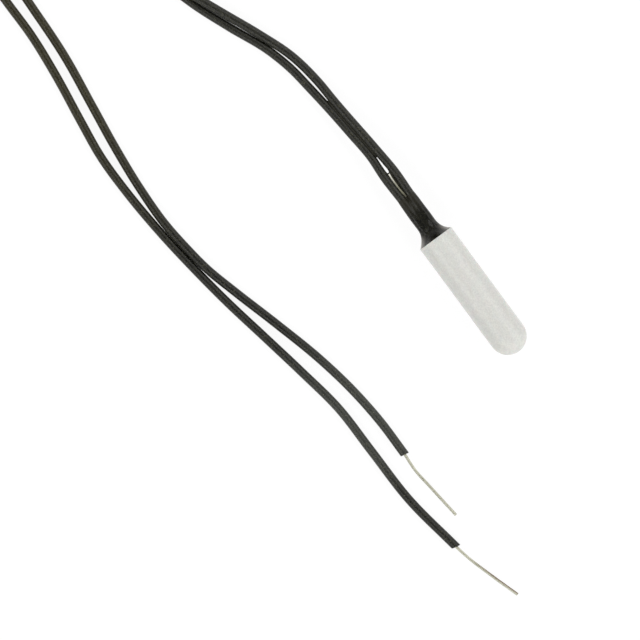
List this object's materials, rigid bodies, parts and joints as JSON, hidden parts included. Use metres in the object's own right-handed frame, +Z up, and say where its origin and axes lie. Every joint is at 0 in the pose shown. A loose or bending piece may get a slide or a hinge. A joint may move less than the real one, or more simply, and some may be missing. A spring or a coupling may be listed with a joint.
{
  "type": "thermistor probe",
  "caption": "Slim round-ended plastic tube, filled with black resin at its open end, with long black insulated leads looped back beside it and their tinned conductor ends bared.",
  "frame": {"origin": "centre of the cup's open mouth, on the cup's axis", "axes": "+X along the cup's axis from its mouth to its round tip, +Z up from the level surface that the cup and its leads lie on, +Y to the left of +X seen from above"},
  "size_m": [0.1784, 0.0403, 0.0064],
  "materials": {
    "housing_plastic": "moulded, satin",
    "potting_resin": "cast, glossy",
    "lead_insulation": "extruded, satin",
    "tinned_copper": "drawn and tinned, dull",
    "solder": "satin",
    "chip_ceramic": "sintered, matte",
    "fired_silver": "satin",
    "element_lead_metal": "drawn, satin",
    "bead_epoxy": "dipped, glossy",
    "sleeve_film": "amber, glossy"
  },
  "bodies": {
    "root": {"sensor_housing": "housing_plastic", "potting_resin": "potting_resin", "bead_coating": "bead_epoxy", "thermistor_chip": "chip_ceramic", "chip_electrode_a": "fired_silver", "chip_electrode_b": "fired_silver", "chip_solder_a": "solder", "chip_solder_b": "solder", "element_lead_a": "element_lead_metal", "element_lead_b": "element_lead_metal", "splice_solder_a": "solder", "splice_solder_b": "solder", "splice_sleeve_a": "sleeve_film", "splice_sleeve_b": "sleeve_film", "stripped_core_a": "tinned_copper", "stripped_core_b": "tinned_copper", "lead_wire_a": "lead_insulation", "lead_wire_b": "lead_insulation", "tinned_end_a": "tinned_copper", "tinned_end_b": "tinned_copper"}
  },
  "joints": []
}
